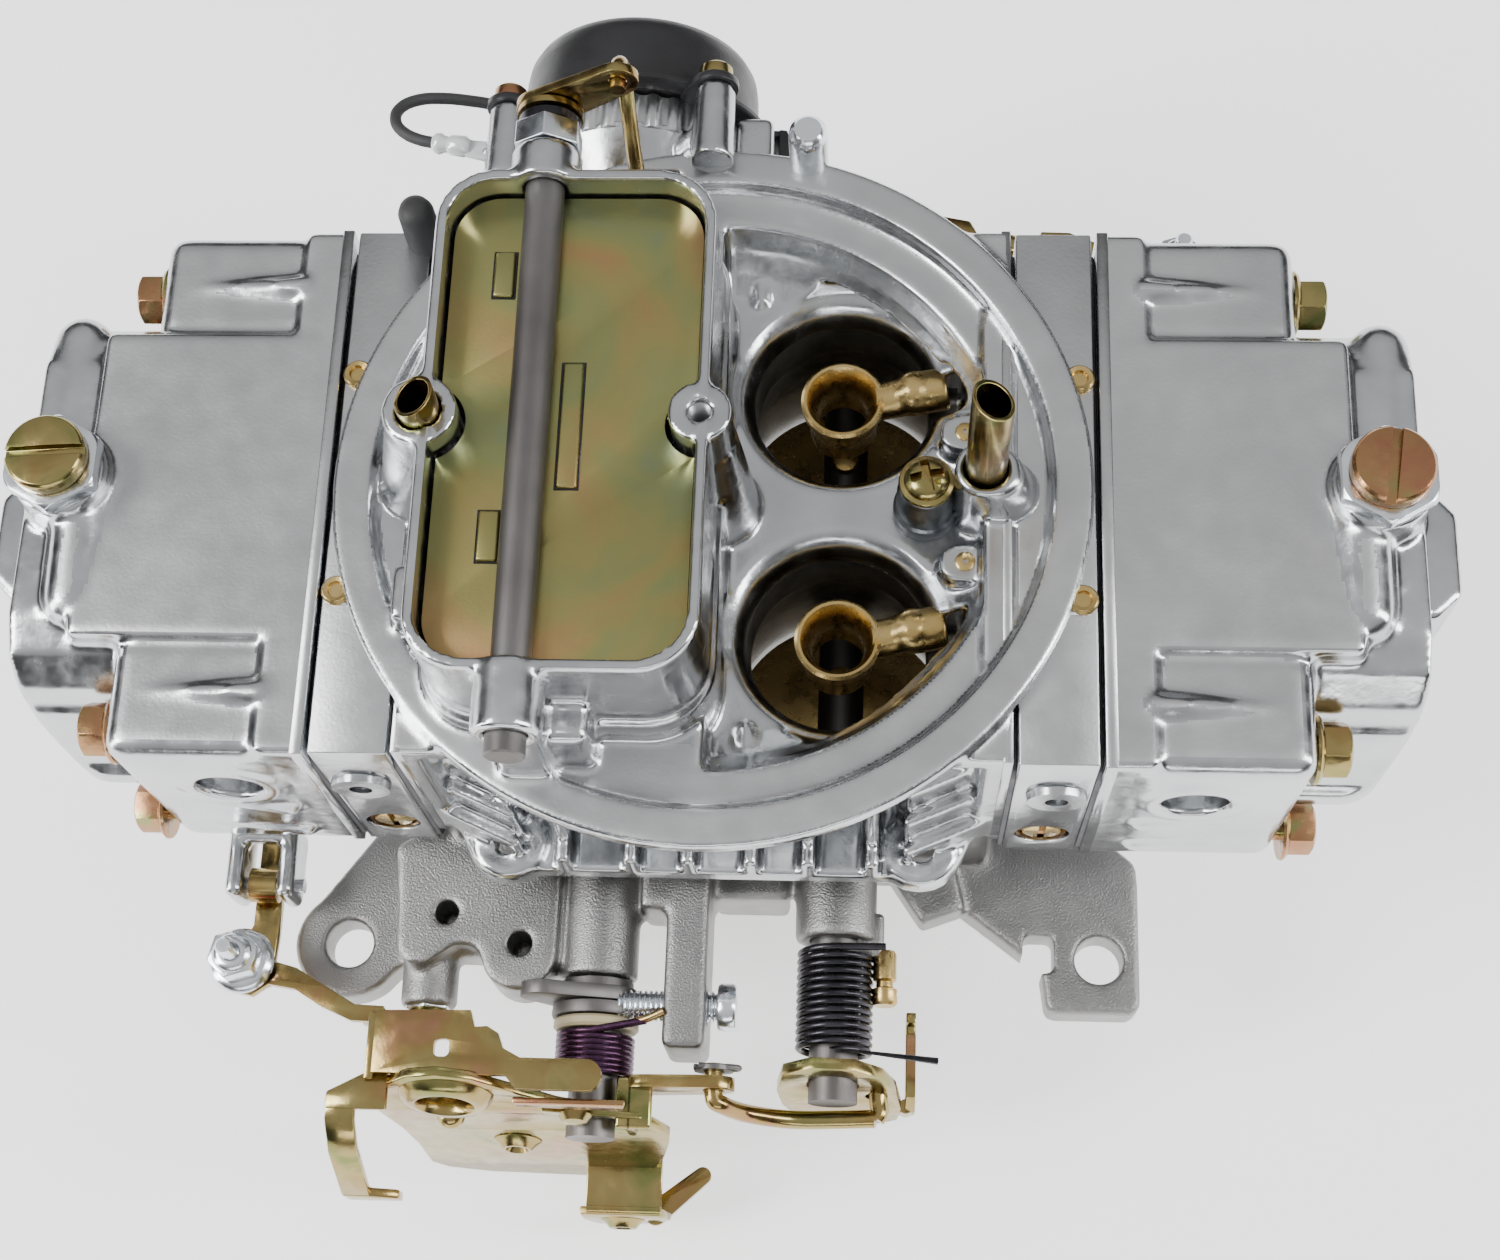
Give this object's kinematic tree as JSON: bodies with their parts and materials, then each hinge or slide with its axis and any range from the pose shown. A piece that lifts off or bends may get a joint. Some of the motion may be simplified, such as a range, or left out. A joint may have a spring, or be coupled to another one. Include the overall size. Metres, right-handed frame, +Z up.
{
  "type": "four-barrel carburetor",
  "caption": "Square-flange downdraft carburetor with an electric choke, mechanical secondary throttles and a fuel bowl at each end.",
  "frame": {"origin": "centre of the base flange's lower face, midway between the four bores", "axes": "+Z up through the bores, -X towards the primary (choke) end, +X towards the secondary end, -Y towards the throttle lever side, +Y towards the choke housing side"},
  "size_m": [0.258, 0.2083, 0.1432],
  "materials": {
    "bead_blasted_casting": "matte bead-blasted casting",
    "polished_casting": "bright polished casting with satin machined faces",
    "gasket_sheet": "dark gasket sheet",
    "brass": "machined",
    "yellow_zinc": "iridescent yellow chromate over zinc",
    "clear_zinc": "bright zinc plate",
    "shaft_steel": "dark ground steel",
    "spring_steel": "black oxide wire",
    "black_plastic": "satin moulding",
    "closed_cell_float": "closed-cell foam"
  },
  "bodies": {
    "carburetor_body": {"throttle_body": "bead_blasted_casting", "throttle_body_gasket": "gasket_sheet", "main_body": "polished_casting", "primary_metering_block": "polished_casting", "primary_metering_gasket": "gasket_sheet", "primary_bowl_gasket": "gasket_sheet", "primary_fuel_bowl": "polished_casting", "primary_bowl_screw_1": "brass", "primary_bowl_screw_2": "brass", "primary_bowl_screw_3": "brass", "primary_bowl_screw_4": "brass", "primary_level_nut": "clear_zinc", "primary_level_screw": "yellow_zinc", "primary_pump_cover": "polished_casting", "primary_booster_near": "brass", "primary_booster_far": "brass", "primary_vent_tube": "yellow_zinc", "primary_return_spring": "spring_steel", "secondary_metering_block": "polished_casting", "secondary_metering_gasket": "gasket_sheet", "secondary_bowl_gasket": "gasket_sheet", "secondary_fuel_bowl": "polished_casting", "secondary_bowl_screw_1": "brass", "secondary_bowl_screw_2": "brass", "secondary_bowl_screw_3": "brass", "secondary_bowl_screw_4": "brass", "secondary_level_nut": "clear_zinc", "secondary_level_screw": "yellow_zinc", "secondary_pump_cover": "polished_casting", "secondary_booster_near": "brass", "secondary_booster_far": "brass", "secondary_vent_tube": "yellow_zinc", "secondary_return_spring": "spring_steel", "discharge_nozzle": "bead_blasted_casting", "discharge_nozzle_screw": "yellow_zinc", "choke_housing": "polished_casting", "choke_cap": "black_plastic", "choke_cap_retainer": "black_plastic", "ground_wire": "black_plastic", "ground_wire_terminal": "clear_zinc"},
    "choke_valve": {"choke_shaft": "shaft_steel", "choke_plate": "yellow_zinc", "choke_lever": "yellow_zinc"},
    "choke_link": {"choke_rod": "yellow_zinc"},
    "primary_throttle_body": {"primary_throttle_shaft": "shaft_steel", "primary_throttle_plate_near": "brass", "primary_throttle_plate_far": "brass", "throttle_lever": "yellow_zinc"},
    "secondary_throttle_body": {"secondary_throttle_shaft": "shaft_steel", "secondary_throttle_plate_near": "brass", "secondary_throttle_plate_far": "brass", "secondary_lever": "yellow_zinc"},
    "throttle_link_rod": {"throttle_link": "yellow_zinc"},
    "primary_pump_arm_body": {"primary_pump_arm": "yellow_zinc"},
    "primary_pump_lever_body": {"primary_pump_lever": "yellow_zinc"},
    "secondary_pump_arm_body": {"secondary_pump_arm": "yellow_zinc"},
    "secondary_pump_lever_body": {"secondary_pump_lever": "yellow_zinc"},
    "primary_float_body": {"primary_float": "closed_cell_float"},
    "secondary_float_body": {"secondary_float": "closed_cell_float"},
    "idle_adjuster": {"curb_idle_screw": "clear_zinc"}
  },
  "joints": [
    {"name": "choke_opening", "type": "hinge", "parent": "carburetor_body", "child": "choke_valve", "pos_m": [-0.028, 0, 0.101], "axis": [0, 1, 0], "range_deg": [0, 76], "stiffness_Nm_per_rad": 0.02, "springref_deg": -22.92},
    {"name": "choke_rod_swing", "type": "hinge", "parent": "choke_valve", "child": "choke_link", "pos_m": [-0.01571, 0.0572, 0.1096], "axis": [0, 1, 0], "range_deg": [-77, 1]},
    {"name": "primary_throttle", "type": "hinge", "parent": "carburetor_body", "child": "primary_throttle_body", "pos_m": [-0.022, 0, 0.016], "axis": [0, 1, 0], "range_deg": [0, 75], "stiffness_Nm_per_rad": 0.2, "springref_deg": -85.94},
    {"name": "secondary_throttle", "type": "hinge", "parent": "carburetor_body", "child": "secondary_throttle_body", "pos_m": [0.022, 0, 0.016], "axis": [0, 1, 0], "range_deg": [-0.5, 75.5]},
    {"name": "throttle_link_swing", "type": "hinge", "parent": "primary_throttle_body", "child": "throttle_link_rod", "pos_m": [0.0005, -0.0932, 0.021], "axis": [0, 1, 0], "range_deg": [-117, 1]},
    {"name": "primary_pump_arm_swing", "type": "hinge", "parent": "carburetor_body", "child": "primary_pump_arm_body", "pos_m": [-0.054, -0.0822, 0.014], "axis": [0, 1, 0], "range_deg": [-5.6, 0.2]},
    {"name": "secondary_pump_arm_swing", "type": "hinge", "parent": "carburetor_body", "child": "secondary_pump_arm_body", "pos_m": [0.054, 0.0822, 0.014], "axis": [0, 1, 0], "range_deg": [-0.2, 5.6]},
    {"name": "primary_pump_lever_swing", "type": "hinge", "parent": "carburetor_body", "child": "primary_pump_lever_body", "pos_m": [-0.0865, -0.057, 0.017], "axis": [1, 0, 0], "range_deg": [-0.2, 11.8]},
    {"name": "secondary_pump_lever_swing", "type": "hinge", "parent": "carburetor_body", "child": "secondary_pump_lever_body", "pos_m": [0.0865, 0.057, 0.017], "axis": [1, 0, 0], "range_deg": [-11.8, 0.2]},
    {"name": "primary_float_drop", "type": "hinge", "parent": "carburetor_body", "child": "primary_float_body", "pos_m": [-0.104, 0, 0.06], "axis": [0, 1, 0], "range_deg": [0, 14]},
    {"name": "secondary_float_drop", "type": "hinge", "parent": "carburetor_body", "child": "secondary_float_body", "pos_m": [0.104, 0, 0.06], "axis": [0, 1, 0], "range_deg": [-14, 0]},
    {"name": "curb_idle_adjustment", "type": "hinge", "parent": "carburetor_body", "child": "idle_adjuster", "pos_m": [-0.002, -0.079, 0.02], "axis": [1, 0, 0], "range_deg": [-360, 360]}
  ],
  "couplings": [
    {"joint": "choke_rod_swing", "follows": "choke_opening", "ratio": -1},
    {"joint": "secondary_throttle", "follows": "primary_throttle", "ratio": 1},
    {"joint": "throttle_link_swing", "follows": "primary_throttle", "ratio": -1.549},
    {"joint": "primary_pump_arm_swing", "follows": "primary_throttle", "ratio": -0.0718},
    {"joint": "secondary_pump_arm_swing", "follows": "primary_throttle", "ratio": 0.0718},
    {"joint": "primary_pump_lever_swing", "follows": "primary_throttle", "ratio": 0.1528},
    {"joint": "secondary_pump_lever_swing", "follows": "primary_throttle", "ratio": -0.1528}
  ]
}
